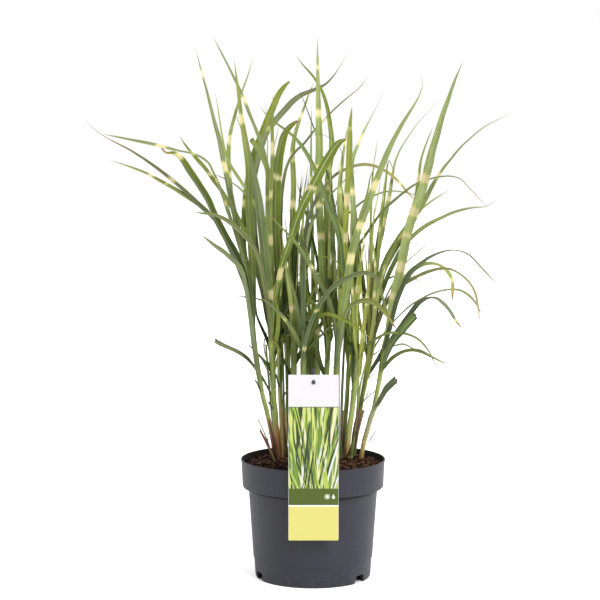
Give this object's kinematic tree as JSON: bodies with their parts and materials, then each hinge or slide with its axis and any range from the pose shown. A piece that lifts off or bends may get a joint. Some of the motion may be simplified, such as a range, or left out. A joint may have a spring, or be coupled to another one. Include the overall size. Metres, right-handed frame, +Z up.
{
  "type": "potted ornamental grass",
  "caption": "Clump of tall banded arching grass rooted in a round tapered nursery pot with a hanging plant label on a stake at the rim.",
  "frame": {"origin": "centre of the pot's underside, on the surface that the pot stands on", "axes": "+Z up along the pot's axis, -Y towards the side where the label hangs, +X to the right as seen from that side"},
  "size_m": [0.5557, 0.355, 0.7156],
  "materials": {
    "pot_plastic": "satin",
    "potting_soil": "matte",
    "label_card": "satin",
    "stake_plastic": "satin",
    "culm": "satin",
    "blade": "satin",
    "dry_sheath": "matte"
  },
  "bodies": {
    "root": {"pot": "pot_plastic", "soil": "potting_soil", "label_card": "label_card", "label_stake": "stake_plastic", "culm_left_outer": "culm", "culm_left_main": "culm", "culm_left_inner": "culm", "culm_left_behind": "culm", "culm_mid_left": "culm", "culm_mid_front": "culm", "culm_mid_back": "culm", "culm_mid_right": "culm", "culm_right_front": "culm", "culm_right_thin": "culm", "culm_right_main": "culm", "culm_right_inner": "culm", "culm_right_shoot": "culm", "shoot_small": "culm", "sheath_dry_left": "dry_sheath", "sheath_dry_right": "dry_sheath", "blade_tallest": "blade", "blade_front_midrib": "blade", "blade_centre_left_broad": "blade", "blade_right_great": "blade", "blade_right_great_outer": "blade", "blade_left_hooked": "blade", "blade_far_left_low": "blade", "blade_far_left_high": "blade", "blade_left_kinked": "blade", "blade_left_crossing": "blade", "blade_left_curled": "blade", "blade_left_lowest": "blade", "blade_upper_left_thin": "blade", "blade_upper_left_long": "blade", "blade_left_upright_pale": "blade", "blade_left_dark_upright": "blade", "blade_upper_right_arch": "blade", "blade_centre_left_upright": "blade", "blade_centre_broad_olive": "blade", "blade_long_diagonal": "blade", "blade_centre_cream": "blade", "blade_right_bright": "blade", "blade_right_grey": "blade", "blade_right_slender": "blade", "blade_far_right_high": "blade", "blade_centre_arch_far": "blade", "blade_centre_arch_thin": "blade", "blade_right_arch_drooping": "blade", "blade_far_right_level": "blade", "blade_right_arch_long": "blade", "blade_right_arch_hanging": "blade", "blade_right_arch_low": "blade", "blade_right_arch_wiry": "blade", "blade_right_arch_broad": "blade", "blade_right_cut": "blade", "blade_front_arch_left": "blade", "blade_front_arch_right": "blade", "blade_front_diagonal": "blade", "blade_left_cut": "blade", "blade_right_stub": "blade"}
  },
  "joints": []
}
